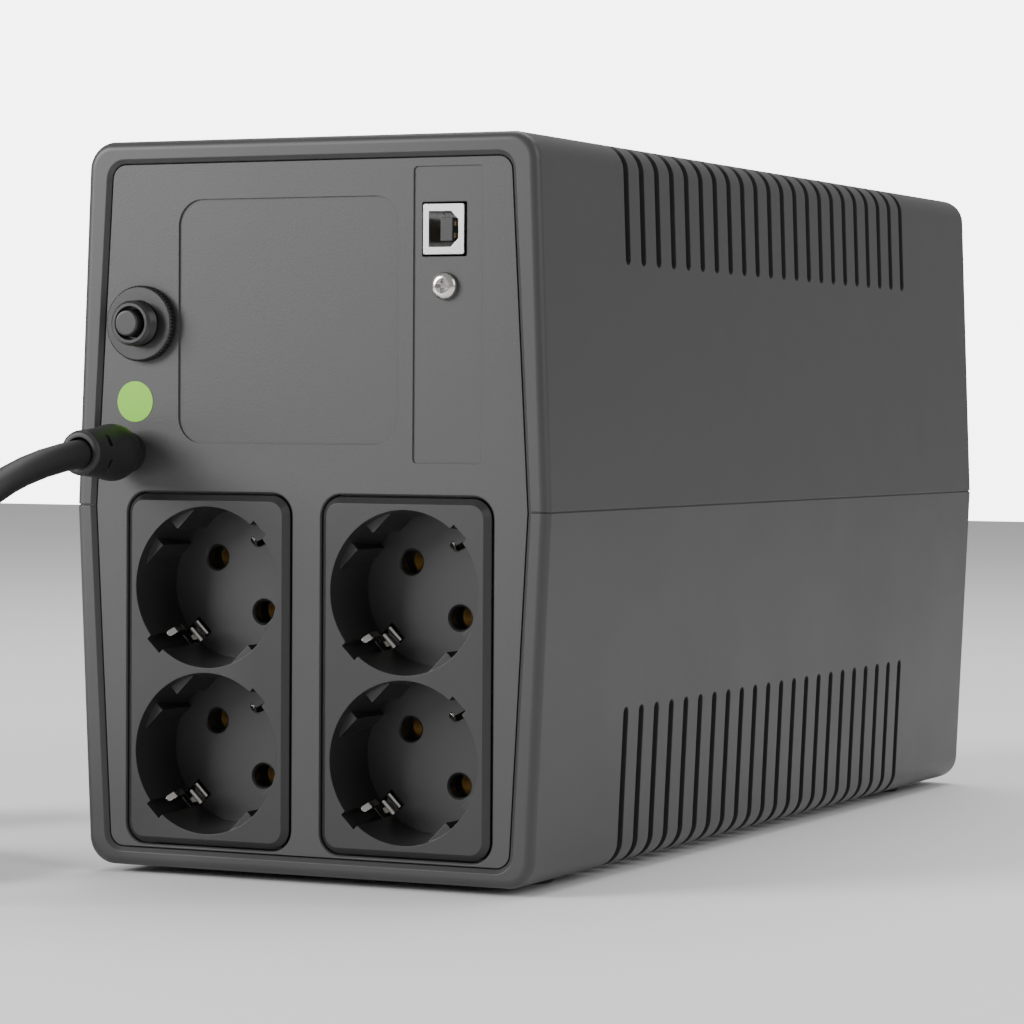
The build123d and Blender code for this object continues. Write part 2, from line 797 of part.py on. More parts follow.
def strip(line, width):
    """An earth strip of one width, bent along a line."""
    return extrude(trace(line, line_width=earth_strip_thickness), amount=width / 2, both=True)


def make_earth_springs(side):
    """One bent strip for each socket: a bridge behind the floor, and at each side a fold, a roll and a tongue."""
    bridge = socket_back_y - earth_strip_thickness / 2
    fold_inner = earth_root_radius + earth_fold_width
    fold_bottom = socket_floor_y - earth_fold_depth
    roll_inner = earth_back_radius - earth_roll_width
    roll_top = socket_floor_y - earth_strip_thickness / 2
    half_path = [
        (earth_root_radius, bridge),
        (earth_root_radius, socket_floor_y),
        (fold_inner, socket_floor_y),
        (fold_inner, fold_bottom),
        (roll_inner, fold_bottom),
        (roll_inner, roll_top),
        (earth_back_radius, roll_top),
        (earth_back_radius, fold_bottom + earth_strip_thickness),
    ]
    bends = 5 * [earth_bend] + 2 * [earth_roll_bend]
    path = [(-u, w) for u, w in reversed(half_path)] + half_path
    spring = strip(FilletPolyline(*path, radius=bends[::-1] + bends), earth_clip_width)
    for end in (1, -1):
        corners = [half_path[-1]]
        corners += [(earth_back_radius + u, socket_floor_y + w) for u, w in earth_tongue_path]
        line = FilletPolyline(*[(end * u, w) for u, w in corners], radius=earth_tongue_bends)
        tongue = strip(line, earth_tongue_width)
        tip = tongue.faces().sort_by(Axis.Y)[-1]
        spring += fillet(tip.edges().sort_by(SortBy.LENGTH)[:2], earth_tip_round)
    springs = []
    for z in socket_heights:
        place = Plane(origin=(side * module_x, 0, z), x_dir=(-1, 0, 1), z_dir=(-1, 0, -1))
        springs.append(place * spring)
    return springs


# ---- Communications port ----
usb_front_y = panel_y + usb_proud
usb_back_y = usb_front_y - usb_depth
comms_board_x = usb_x + usb_width / 2


def usb_outline(width, height, cut):
    """A port's outline with its two corners towards -X cut off."""
    half_w, half_h = width / 2, height / 2
    outline = [
        (half_w, -half_h), (half_w, half_h), (cut - half_w, half_h),
        (-half_w, half_h - cut), (-half_w, cut - half_h), (cut - half_w, -half_h),
    ]
    return Pos(usb_x, usb_z) * make_face(Polyline(*outline, close=True))


def make_usb_shell():
    outer = along_y(Pos(usb_x, usb_z) * RectangleRounded(usb_width, usb_height, 0.5), usb_back_y, usb_front_y)
    room = along_y(usb_outline(usb_opening_width, usb_opening_height, usb_corner_cut),
                   usb_front_y - usb_opening_depth, usb_front_y + 1)
    return outer - room


def make_usb_tongue():
    half_w, half_h = usb_tongue_width / 2, usb_tongue_height / 2
    return block((usb_x - half_w, usb_x + half_w),
                 (usb_front_y - usb_opening_depth, usb_front_y - usb_tongue_setback),
                 (usb_z - half_h, usb_z + half_h))


def make_usb_contacts():
    contacts = []
    for side in (1, -1):
        for end in (1, -1):
            face_x = usb_x + side * usb_tongue_width / 2
            z = usb_z + end * usb_tongue_height / 4
            contacts.append(block(sorted((face_x, face_x + side * usb_contact_thickness)),
                                  (usb_front_y - usb_opening_depth, usb_front_y - usb_tongue_setback - 1),
                                  (z - usb_contact_width / 2, z + usb_contact_width / 2)))
    return contacts


def make_comms_board():
    board_y = (panel_back_y - comms_board_length, usb_front_y - 4)
    return block((comms_board_x, comms_board_x + board_thickness), board_y,
                 (usb_z + usb_height / 2 + 2 - comms_board_height, usb_z + usb_height / 2 + 2))


def make_comms_bracket():
    half = port_screw_head_radius + 1
    x = (port_screw_x - half, comms_board_x)
    foot = block(x, (panel_back_y - bracket_thickness, panel_back_y), (port_screw_z - half, port_screw_z + half))
    leg = block((comms_board_x - bracket_thickness, comms_board_x),
                (panel_back_y - 14, panel_back_y), (port_screw_z - half, port_screw_z + half))
    hole = rod(port_screw_radius + pilot_clearance, (port_screw_x, panel_back_y - 9, port_screw_z),
               (port_screw_x, panel_back_y + 1, port_screw_z))
    return foot + leg - hole


def make_port_screw():
    seat_y = panel_y - strip_depth
    head = rod(port_screw_head_radius, (port_screw_x, seat_y, port_screw_z),
               (port_screw_x, seat_y + port_screw_head_height, port_screw_z))
    head = fillet(head.edges().group_by(Axis.Y)[-1], port_screw_head_height * 0.8)
    for width, height in ((port_screw_slot, 3.6), (3.6, port_screw_slot)):
        head -= block((port_screw_x - width / 2, port_screw_x + width / 2),
                      (seat_y + 0.5, seat_y + port_screw_head_height + 1),
                      (port_screw_z - height / 2, port_screw_z + height / 2))
    return head + rod(port_screw_radius, (port_screw_x, seat_y - port_screw_length, port_screw_z),
                      (port_screw_x, seat_y + 0.2, port_screw_z))


# ---- Circuit breaker ----
bush_front_y = panel_y + breaker_bush_front
plunger_front_y = bush_front_y + plunger_stand
plunger_back_y = bush_front_y - plunger_stem
breaker_back_y = panel_back_y - breaker_body_depth


def make_breaker_body():
    half_w, half_h = breaker_body_width / 2, breaker_body_height / 2
    body = block((breaker_x - half_w, breaker_x + half_w), (breaker_back_y, panel_back_y),
                 (breaker_z - half_h, breaker_z + half_h))
    body = fillet(body.edges().filter_by(Axis.Y), 1.0)
    thread_front = bush_front_y - bush_bevel
    outline = [(0, panel_back_y - 1), (breaker_bush_radius, panel_back_y - 1)]
    for turn in range(thread_count, 0, -1):
        outline.append((breaker_bush_radius, thread_front - turn * thread_pitch))
        outline.append((breaker_bush_radius - thread_depth, thread_front - (turn - 0.5) * thread_pitch))
    outline += [
        (breaker_bush_radius, thread_front),
        (breaker_bush_radius - bush_bevel, bush_front_y),
        (bush_mouth_radius, bush_front_y),
        (bush_mouth_radius, bush_front_y - bush_mouth_depth),
        (0, bush_front_y - bush_mouth_depth),
    ]
    bush = turned(make_face(Polyline(*outline, close=True)), breaker_x, breaker_z)
    bore = rod(plunger_radius + plunger_clearance, (breaker_x, plunger_back_y - plunger_clearance, breaker_z),
               (breaker_x, bush_front_y + 1, breaker_z))
    return body + bush - bore


def make_breaker_nut():
    nut = rod(nut_radius, (breaker_x, panel_y, breaker_z), (breaker_x, panel_y + nut_height, breaker_z))
    nut = chamfer(nut.edges().group_by(Axis.Y)[-1], nut_bevel)
    knurls = []
    for index in range(nut_knurls):
        angle = 2 * math.pi * index / nut_knurls
        x = breaker_x + nut_radius * math.cos(angle)
        z = breaker_z + nut_radius * math.sin(angle)
        knurls.append(rod(nut_knurl_radius, (x, panel_y - 1, z), (x, panel_y + nut_height + 1, z)))
    nut -= knurls
    bore = breaker_bush_radius + nut_clearance
    return nut - rod(bore, (breaker_x, panel_y - 1, breaker_z), (breaker_x, panel_y + nut_height + 1, breaker_z))


def make_reset_plunger():
    plunger = rod(plunger_radius, (breaker_x, plunger_back_y, breaker_z), (breaker_x, plunger_front_y, breaker_z))
    return fillet(plunger.edges().group_by(Axis.Y)[-1], 0.5)


def make_breaker_tabs():
    tabs = []
    for end in (1, -1):
        z = breaker_z + end * breaker_body_height / 4
        tabs.append(block((breaker_x - tab_thickness / 2, breaker_x + tab_thickness / 2),
                          (breaker_back_y - tab_length, breaker_back_y), (z - tab_width / 2, z + tab_width / 2)))
    return tabs


# ---- Cord gland, mains cord and plug ----
gland_end_y = panel_y + gland_length
cord_socket_depth = 3.0
cord_start_y = gland_end_y - cord_socket_depth
cord_radius = cord_diameter / 2


def make_cord_gland():
    profile = [
        (0, panel_back_y - gland_inner_thickness),
        (gland_inner_flange, panel_back_y - gland_inner_thickness),
        (gland_inner_flange, panel_back_y),
        (gland_neck_radius, panel_back_y),
        (gland_neck_radius, panel_y + gland_neck_length),
    ]
    sections = [profile[-1]]
    sections += [(radius, panel_y + distance) for distance, radius in gland_sections]
    sections.append((gland_end_radius, gland_end_y))
    end = Polyline(sections[-1], (0, gland_end_y), profile[0])
    gland = turned(make_face(Polyline(*profile) + Spline(*sections) + end), gland_x, gland_z)
    gland = fillet(gland.edges().group_by(Axis.Y)[-1], gland_end_round)
    gland -= rod(cord_radius + panel_gap, (gland_x, cord_start_y, gland_z), (gland_x, gland_end_y + 1, gland_z))
    slot_y = panel_y + gland_slot_distance
    reach = gland_sections[1][1] + 1
    for side in (1, -1):
        x = sorted((gland_x + side * gland_slot_floor, gland_x + side * reach))
        for end in (1, -1):
            z = sorted((gland_z + end * gland_slot_bridge / 2, gland_z + end * reach))
            gland -= block(x, (slot_y - gland_slot_width / 2, slot_y + gland_slot_width / 2), z)
    return gland


coil_bottom_z = tie_thickness + tie_clearance
coil_top_z = coil_bottom_z + coil_layers * cord_diameter
coil_outer_radius = coil_turn_radius + (coil_columns - 1) * cord_radius
first_layer_z = coil_bottom_z + cord_radius
last_layer_z = coil_top_z - cord_radius

# The lead goes out of the gland, down to the floor and into the coil's lowest turn.
lead_route = [
    (gland_x, cord_start_y, gland_z),
    (gland_x, 199.5, 102.3),
    (57.0, 222.5, 84.0),
    (67.5, 234.5, 58.0),
    (79.5, 241.0, 30.5),
    (97.0, 241.5, 12.0),
    (122.0, 236.5, first_layer_z),
    (143.56, 228.26, first_layer_z),
]

# The tail leaves the coil's top turn and ends in the plug beside the coil.
tail_route = [
    (coil_x + coil_outer_radius, 186.5, last_layer_z),
    (coil_x + coil_outer_radius - 0.4, 170.5, last_layer_z + 1.2),
    (coil_x + coil_outer_radius - 2.2, 154.5, last_layer_z + 4.2),
    (coil_x + coil_outer_radius - 4.0, 138.5, plug_radius + 0.1),
]
plug_x, plug_rear_y, plug_z = tail_route[-1]


def bend_radii(route):
    """The largest radius that each corner of a route allows."""
    radii = []
    for before, corner, after in zip(route, route[1:], route[2:]):
        arriving = Vector(*corner) - Vector(*before)
        leaving = Vector(*after) - Vector(*corner)
        half_turn = math.radians(arriving.get_angle(leaving) / 2)
        radii.append(0.45 * min(arriving.length, leaving.length) / math.tan(half_turn))
    return radii


def make_tube(route):
    """The cord along a route of straight runs joined by tangent arcs."""
    radii = bend_radii(route)
    path = FilletPolyline(*route, radius=radii)
    start = Plane(origin=path @ 0, z_dir=path % 0)
    tube = sweep(start * Circle(cord_radius), path=path)
    section = math.pi * cord_radius ** 2
    print("cord bend radii", [round(r, 1) for r in radii], "length", round(path.length, 1),
          "volume ratio", round(tube.volume / (section * path.length), 5))
    return tube


def make_mains_cord():
    return [make_tube(lead_route), make_tube(tail_route)]


def ring_section(width, height, radius):
    """A rounded section of the coil, or of what goes round it, standing in x and z beside its axis."""
    middle_z = (coil_bottom_z + coil_top_z) / 2
    return Plane.XZ * (Pos(coil_turn_radius, middle_z) * RectangleRounded(width, height, radius))


coil_width = coil_columns * cord_diameter
coil_height = coil_layers * cord_diameter


def make_cord_coil():
    ring = revolve(ring_section(coil_width, coil_height, coil_edge_radius), Axis.Z)
    return Pos(coil_x, coil_y, 0) * ring


def make_cord_tie():
    inner_w, inner_h = coil_width + 2 * tie_clearance, coil_height + 2 * tie_clearance
    inner_radius = coil_edge_radius + tie_clearance
    section = ring_section(inner_w + 2 * tie_thickness, inner_h + 2 * tie_thickness, inner_radius + tie_thickness)
    section -= ring_section(inner_w, inner_h, inner_radius)
    arc = math.degrees(tie_width / coil_turn_radius)
    band = revolve(section, Axis.Z, revolution_arc=arc)
    return Pos(coil_x, coil_y, 0) * (Rot(0, 0, tie_angle - arc / 2) * band)


plug_body_length = plug_relief_length + plug_grip_length + plug_face_length
plug_face_y = plug_rear_y - plug_body_length


def make_plug_body():
    relief_y = plug_rear_y - plug_relief_length
    grip_y = relief_y - plug_grip_length
    outline = Polyline(
        (0, plug_rear_y), (cord_radius + 1, plug_rear_y), (plug_relief_radius + 0.6, relief_y),
        (plug_relief_radius + 4, relief_y), (plug_radius - 2.2, grip_y + 3), (plug_radius, grip_y),
        (plug_radius, plug_face_y + plug_bevel), (plug_radius - plug_bevel, plug_face_y),
        (0, plug_face_y), (0, plug_rear_y))
    place = Plane(origin=(plug_x, 0, plug_z), x_dir=(1, 0, 0), z_dir=(0, 0, 1))
    body = revolve(place * make_face(outline), Axis((plug_x, 0, plug_z), (0, 1, 0)))
    for side in (1, -1):
        groove_x = sorted((plug_x + side * (plug_radius - plug_groove_depth), plug_x + side * (plug_radius + 1)))
        half = plug_groove_width / 2
        body -= block(groove_x, (plug_face_y - 1, grip_y - 2), (plug_z - half, plug_z + half))
        flat_z = sorted((plug_z + side * (plug_radius - plug_groove_depth / 2), plug_z + side * (plug_radius + 1)))
        half = plug_strip_width / 2 + 0.3
        body -= block((plug_x - half, plug_x + half), (plug_face_y - 1, plug_face_y + plug_strip_length), flat_z)
        pin_x = plug_x + side * pin_spacing / 2
        body -= rod(plug_pin_radius + pilot_clearance, (pin_x, plug_face_y - 1, plug_z),
                    (pin_x, plug_face_y + plug_pin_root + 0.1, plug_z))
    return body


def make_plug_pins():
    pins = []
    for side in (1, -1):
        x = plug_x + side * pin_spacing / 2
        pin = rod(plug_pin_radius, (x, plug_face_y - plug_pin_length, plug_z), (x, plug_face_y + plug_pin_root, plug_z))
        pins.append(fillet(pin.edges().group_by(Axis.Y)[0], plug_pin_radius * 0.7))
    return pins


def make_plug_earth_strips():
    strips = []
    half = plug_strip_width / 2
    for side in (1, -1):
        seat_z = plug_z + side * (plug_radius - plug_groove_depth / 2)
        outer_z = seat_z + side * plug_strip_thickness
        strips.append(block((plug_x - half, plug_x + half), (plug_face_y + 0.5, plug_face_y + plug_strip_length - 0.5),
                            sorted((seat_z, outer_z))))
    return strips


# ---- Batteries ----
battery_low_z = floor_z + battery_pad
battery_top_z = battery_low_z + battery_height
battery_starts = [
    front_y + battery_front_distance + index * (battery_depth + battery_space) for index in range(battery_count)
]
strap_y = battery_starts[1] - battery_space / 2
strap_screw_places = [
    (side * (battery_width / 2 + strap_thickness + strap_foot_length / 2), strap_y + end * strap_width / 4)
    for side in (1, -1) for end in (1, -1)
]


def make_batteries():
    batteries = []
    for start in battery_starts:
        body = block((-battery_width / 2, battery_width / 2), (start, start + battery_depth),
                     (battery_low_z, battery_top_z))
        body = fillet(body.edges().filter_by(Axis.X), battery_edge_radius)
        lid_x = battery_width / 2 - battery_lid
        frame = block((lid_x, lid_x + battery_lid_groove), (start - 1, start + battery_depth + 1),
                      (battery_low_z - 1, battery_top_z + 1))
        core = block((lid_x - 1, lid_x + 2),
                     (start + battery_lid_groove, start + battery_depth - battery_lid_groove),
                     (battery_low_z + battery_lid_groove, battery_top_z - battery_lid_groove))
        batteries.append(body - (frame - core))
    return batteries


def make_battery_terminals():
    terminals = []
    for start in battery_starts:
        for z in (battery_low_z + terminal_inset, battery_top_z - terminal_inset):
            y = start + terminal_inset
            terminals.append(block((battery_width / 2, battery_width / 2 + terminal_height),
                                   (y, y + terminal_thickness), (z - terminal_width / 2, z + terminal_width / 2)))
    return terminals


def make_battery_pads():
    pads = []
    for start in battery_starts:
        pads.append(block((-battery_width / 2 + 4, battery_width / 2 - 4), (start + 4, start + battery_depth - 4),
                          (floor_z, battery_low_z)))
    return pads


def make_battery_strap():
    half = battery_width / 2
    outer = half + strap_thickness
    y = (strap_y - strap_width / 2, strap_y + strap_width / 2)
    strap = block((-outer, outer), y, (battery_top_z, battery_top_z + strap_thickness))
    for side in (1, -1):
        strap += block(sorted((side * half, side * outer)), y, (floor_z, battery_top_z + strap_thickness))
        foot_x = sorted((side * half, side * (outer + strap_foot_length)))
        strap += block(foot_x, y, (floor_z, floor_z + strap_thickness))
    for x, screw_y in strap_screw_places:
        strap -= rod(plain_screw_radius + pilot_clearance, (x, screw_y, floor_z - 1), (x, screw_y, floor_z + 3))
    return strap


def plain_screws(places, seat_z, direction):
    """Round-headed screws whose heads sit on a face, seen along the way that they point."""
    screws = []
    for x, y in places:
        head_z = seat_z - direction * plain_screw_head_height
        head = rod(plain_screw_head_radius, (x, y, head_z), (x, y, seat_z))
        bite = strap_thickness + plain_screw_bite - 0.1
        screws.append(head + rod(plain_screw_radius, (x, y, seat_z), (x, y, seat_z + direction * bite)))
    return screws


# ---- Transformer ----
core_y = (rear_y - core_rear_distance - core_stack, rear_y - core_rear_distance)
core_low_z = floor_z + base_thickness
core_top_z = core_low_z + core_height
core_middle_z = (core_low_z + core_top_z) / 2
window_half_height = core_height / 2 - core_leg
bolt_places = [
    (side * (core_width / 2 - core_leg / 2), core_middle_z + end * (core_height / 2 - core_leg / 2))
    for side in (1, -1) for end in (1, -1)
]
base_screw_places = [
    (side * (core_width / 2 - 5), y)
    for side in (1, -1)
    for y in (core_y[0] - base_overhang / 2, core_y[1] + base_overhang / 2)
]


def make_transformer_core():
    core = block((-core_width / 2, core_width / 2), core_y, (core_low_z, core_top_z))
    for side in (1, -1):
        x = sorted((side * core_leg, side * (core_width / 2 - core_leg)))
        core -= block(x, (core_y[0] - 1, core_y[1] + 1),
                      (core_middle_z - window_half_height, core_middle_z + window_half_height))
    for x, z in bolt_places:
        core -= rod(core_bolt_radius + core_bolt_clearance, (x, core_y[0] - 1, z), (x, core_y[1] + 1, z))
    return core


def make_transformer_windings():
    inner = core_leg + winding_clearance
    outer = core_leg + winding_build
    z = (core_middle_z - window_half_height + winding_clearance, core_middle_z + window_half_height - winding_clearance)
    ring = block((-outer, outer), (core_y[0] - winding_build, core_y[1] + winding_build), z)
    ring = fillet(ring.edges().filter_by(Axis.Z), winding_edge_radius)
    return ring - block((-inner, inner), (core_y[0] - winding_clearance, core_y[1] + winding_clearance), z)


def make_transformer_base():
    half = core_width / 2
    base = block((-half, half), (core_y[0] - base_overhang, core_y[1] + base_overhang), (floor_z, core_low_z))
    for y in ((core_y[0] - base_thickness, core_y[0]), (core_y[1], core_y[1] + base_thickness)):
        base += block((-half, half), y, (floor_z, core_low_z + base_flange_height))
    for x, z in bolt_places:
        base -= rod(core_bolt_radius + core_bolt_clearance, (x, core_y[0] - 20, z), (x, core_y[1] + 20, z))
    for x, y in base_screw_places:
        base -= rod(plain_screw_radius + pilot_clearance, (x, y, floor_z - 1), (x, y, core_low_z + 1))
    return base


def make_transformer_bolts():
    bolts = []
    for x, z in bolt_places:
        plate = base_thickness if z < core_middle_z else 0
        front, back = core_y[0] - plate, core_y[1] + plate
        bolt = rod(core_bolt_radius, (x, front, z), (x, back, z))
        bolt += rod(core_bolt_head_radius, (x, front - core_bolt_head_height, z), (x, front, z))
        bolt += rod(core_bolt_head_radius, (x, back, z), (x, back + core_bolt_head_height, z))
        bolts.append(bolt)
    return bolts


# ---- Main board ----
board_low_z = case_bottom + board_rise
board_top_z = board_low_z + board_thickness
board_y = (rear_y - board_rear_distance - board_length, rear_y - board_rear_distance)
board_boss_places = [
    (side * board_boss_x, y)
    for side in (1, -1)
    for y in (board_y[0] + board_boss_inset, board_y[1] - board_boss_inset)
]
board_middle_y = (board_y[0] + board_y[1]) / 2


def make_main_board():
    board = block((-board_width / 2, board_width / 2), board_y, (board_low_z, board_top_z))
    for x, y in board_boss_places:
        board -= rod(plain_screw_radius + 0.2, (x, y, board_low_z - 1), (x, y, board_top_z + 1))
    return board


def make_heat_sinks():
    sinks = []
    y = (board_middle_y - sink_length / 2, board_middle_y + sink_length / 2)
    for side in (1, -1):
        inner = side * sink_x
        sink = block(sorted((inner, inner + side * sink_plate)), y, (board_top_z, board_top_z + sink_height))
        for index in range(sink_fin_count):
            z = board_top_z + 2 + index * (sink_height - 4) / (sink_fin_count - 1)
            fin_x = sorted((inner + side * (sink_plate - 0.5), inner + side * (sink_plate + sink_fin_length)))
            sink += block(fin_x, y, (z - sink_fin_thickness / 2, z + sink_fin_thickness / 2))
        sinks.append(sink)
    return sinks


def make_power_transistors():
    parts = []
    for side in (1, -1):
        for index in range(transistor_count):
            y = board_middle_y + (index - (transistor_count - 1) / 2) * sink_length / transistor_count
            x = sorted((side * sink_x, side * (sink_x - 4.5)))
            parts.append(block(x, (y - 5, y + 5), (board_top_z, board_top_z + 18)))
    return parts


def make_relays():
    width, length, height = relay_size
    relays = []
    for index in range(relay_count):
        x = (index - (relay_count - 1) / 2) * (width + 3)
        y = board_y[1] - board_boss_inset * 2 - length
        relays.append(block((x - width / 2, x + width / 2), (y, y + length), (board_top_z, board_top_z + height)))
    return relays


def make_capacitors():
    parts = []
    for side in (1, -1):
        x = side * (capacitor_radius + 1)
        y = board_y[0] + capacitor_radius + 2
        can = rod(capacitor_radius, (x, y, board_top_z), (x, y, board_top_z + capacitor_height))
        parts.append(fillet(can.edges().group_by(Axis.Z)[-1], 0.8))
    return parts


def make_fuse():
    x = -board_width / 2 + 6
    y = board_middle_y - fuse_front_distance
    z = board_top_z + fuse_radius
    return rod(fuse_radius, (x, y - fuse_length / 2, z), (x, y + fuse_length / 2, z))


def make_buzzer():
    x = board_width / 2 - 8
    y = board_y[0] + buzzer_front_inset
    return rod(buzzer_radius, (x, y, board_top_z), (x, y, board_top_z + buzzer_height))


# ---- Front panel ----
window_z = case_bottom + window_rise
button_z = case_bottom + button_rise
lamp_z = case_bottom + lamp_rise
front_board_y = front_panel_back_y + front_board_gap
button_back_y = front_panel_back_y + button_flange_thickness
front_post_places = [
    (side * (front_board_width / 2 - 5), window_z - 8 + end * (front_board_height / 2 - 5))
    for side in (1, -1) for end in (1, -1)
]
lamp_xs = [(index - (lamp_count - 1) / 2) * lamp_spacing for index in range(lamp_count)]


def make_front_panel():
    panel = along_y(front_outline(), front_panel_y, front_panel_back_y)
    panel += along_y(front_outline(panel_flange_width), front_y + rim_thickness, front_panel_back_y)
    pocket_w, pocket_h = window_width + 2 * window_gap, window_height + 2 * window_gap
    panel -= rounded_block(pocket_w, pocket_h, window_corner_radius + window_gap, 0, window_z,
                           front_panel_y - 1, front_panel_y + window_thickness)
    panel -= rounded_block(window_width - 2 * window_step - 4, window_height - 2 * window_step - 4, 1.0,
                           0, window_z, front_panel_y - 1, front_panel_back_y + 1)
    dish = rod(button_radius + button_clearance + button_ring_width, (0, front_panel_y - 1, button_z),
               (0, front_panel_y + button_ring_depth, button_z))
    panel -= dish
    panel -= rod(button_radius + button_clearance, (0, front_panel_y - 1, button_z),
                 (0, front_panel_back_y + 1, button_z))
    for x in lamp_xs:
        panel -= rod(lamp_radius + pilot_clearance, (x, front_panel_y - 1, lamp_z), (x, front_panel_back_y + 1, lamp_z))
    for index in range(groove_count):
        z = case_bottom + groove_rise - index * groove_pitch
        half = case_half_width(z) - front_rim_side - 8
        panel -= block((-half, half), (front_panel_y - 1, front_panel_y + groove_depth),
                       (z - groove_width / 2, z + groove_width / 2))
    for x, z in front_post_places:
        panel += rod(front_post_radius, (x, front_panel_back_y - 0.5, z), (x, front_board_y, z))
        pilot_end = front_board_y - front_screw_bite - 0.3
        panel -= rod(plain_screw_radius + pilot_clearance, (x, pilot_end, z), (x, front_board_y + 1, z))
    return panel


def make_display_window():
    return rounded_block(window_width, window_height, window_corner_radius, 0, window_z,
                         front_panel_y, front_panel_y + window_thickness)


def make_display():
    width, height = window_width - 2 * window_step - 4.6, window_height - 2 * window_step - 4.6
    return block((-width / 2, width / 2), (front_panel_y + window_thickness, front_board_y),
                 (window_z - height / 2, window_z + height / 2))


def make_power_button():
    cap = rod(button_radius, (0, front_panel_y - button_proud, button_z), (0, button_back_y, button_z))
    cap = fillet(cap.edges().group_by(Axis.Y)[0], 0.8)
    flange = rod(button_flange_radius, (0, front_panel_back_y, button_z), (0, button_back_y, button_z))
    stem_end = front_board_y - switch_height - button_travel - plunger_clearance
    stem = rod(button_stem_radius, (0, button_back_y - 0.5, button_z), (0, stem_end, button_z))
    return cap + flange + stem


switch_height = 3.5


def make_power_switch():
    half = switch_size / 2
    return block((-half, half), (front_board_y - switch_height, front_board_y), (button_z - half, button_z + half))


def make_front_board():
    middle_z = window_z - 8
    half_w, half_h = front_board_width / 2, front_board_height / 2
    board = block((-half_w, half_w), (front_board_y, front_board_y + board_thickness),
                  (middle_z - half_h, middle_z + half_h))
    for x, z in front_post_places:
        board -= rod(plain_screw_radius + 0.2, (x, front_board_y - 1, z), (x, front_board_y + 3, z))
    return board


def make_front_board_screws():
    screws = []
    seat_y = front_board_y + board_thickness
    for x, z in front_post_places:
        head = rod(plain_screw_head_radius, (x, seat_y, z), (x, seat_y + plain_screw_head_height, z))
        screws.append(head + rod(plain_screw_radius, (x, front_board_y - front_screw_bite, z), (x, seat_y, z)))
    return screws


def make_status_lamps():
    lamps = []
    for x in lamp_xs:
        lamp = rod(lamp_radius, (x, front_panel_y - 0.2, lamp_z), (x, front_panel_back_y + 2, lamp_z))
        lamps.append(lamp)
    return lamps


def make_small_screws():
    """The equal screws that hold the strap, the transformer's base and both boards."""
    screws = plain_screws(strap_screw_places, floor_z + strap_thickness, -1)
    screws += plain_screws(base_screw_places, core_low_z, -1)
    screws += plain_screws(board_boss_places, board_low_z, 1)
    return screws + make_front_board_screws()


# ---- Every sub-part in its own file ----
nodes = {
    "upper_shell": make_upper_shell(),
    "lower_shell": make_lower_shell(),
    "rubber_feet": make_feet(),
    "case_screws": make_case_screws(),
    "rear_panel": make_rear_panel(),
    "test_sticker": make_test_sticker(),
    "outlet_screws": make_ear_screws(),
    "usb_shell": make_usb_shell(),
    "usb_tongue": make_usb_tongue(),
    "usb_contacts": make_usb_contacts(),
    "comms_board": make_comms_board(),
    "comms_bracket": make_comms_bracket(),
    "port_screw": make_port_screw(),
    "breaker_body": make_breaker_body(),
    "breaker_nut": make_breaker_nut(),
    "reset_plunger": make_reset_plunger(),
    "breaker_tabs": make_breaker_tabs(),
    "cord_gland": make_cord_gland(),
    "mains_cord": make_mains_cord(),
    "cord_coil": make_cord_coil(),
    "cord_tie": make_cord_tie(),
    "plug_body": make_plug_body(),
    "plug_pins": make_plug_pins(),
    "plug_earth_strips": make_plug_earth_strips(),
    "batteries": make_batteries(),
    "battery_terminals": make_battery_terminals(),
    "battery_pads": make_battery_pads(),
    "battery_strap": make_battery_strap(),
    "transformer_core": make_transformer_core(),
    "transformer_windings": make_transformer_windings(),
    "transformer_base": make_transformer_base(),
    "transformer_bolts": make_transformer_bolts(),
    "main_board": make_main_board(),
    "heat_sinks": make_heat_sinks(),
    "power_transistors": make_power_transistors(),
    "relays": make_relays(),
    "capacitors": make_capacitors(),
    "fuse": make_fuse(),
    "buzzer": make_buzzer(),
    "front_panel": make_front_panel(),
    "display_window": make_display_window(),
    "display": make_display(),
    "power_button": make_power_button(),
    "power_switch": make_power_switch(),
    "front_board": make_front_board(),
    "small_screws": make_small_screws(),
    "status_lamps": make_status_lamps(),
}
for name, side in (("left", 1), ("right", -1)):
    nodes[f"outlet_frame_{name}"] = make_outlet_frame(side)
    nodes[f"socket_floors_{name}"] = make_socket_floors(side)
    nodes[f"contact_housing_{name}"] = make_contact_housing(side)
    nodes[f"contact_cover_{name}"] = make_contact_cover(side)
    nodes[f"pin_contacts_{name}"] = make_pin_contacts(side)
    nodes[f"earth_springs_{name}"] = make_earth_springs(side)

for name, solid in nodes.items():
    if isinstance(solid, list):
        solid = Compound(children=solid)
    export_step(solid, f"parts/{name}.step")
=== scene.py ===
# %% [markdown]
# # An uninterruptible power supply, dressed for its portrait
# The machine is a vented plastic case with sockets, a reset breaker and a data port at the rear.
# Its parts come from an imported CAD model, which is loaded first and never moved. Everything that
# follows is placed with the numbers given below, in the model's own frame. All lengths below are in metres.

# %% Load the CAD frame
import bmesh
import bpy
import math
from mathutils import Matrix, Quaternion, Vector


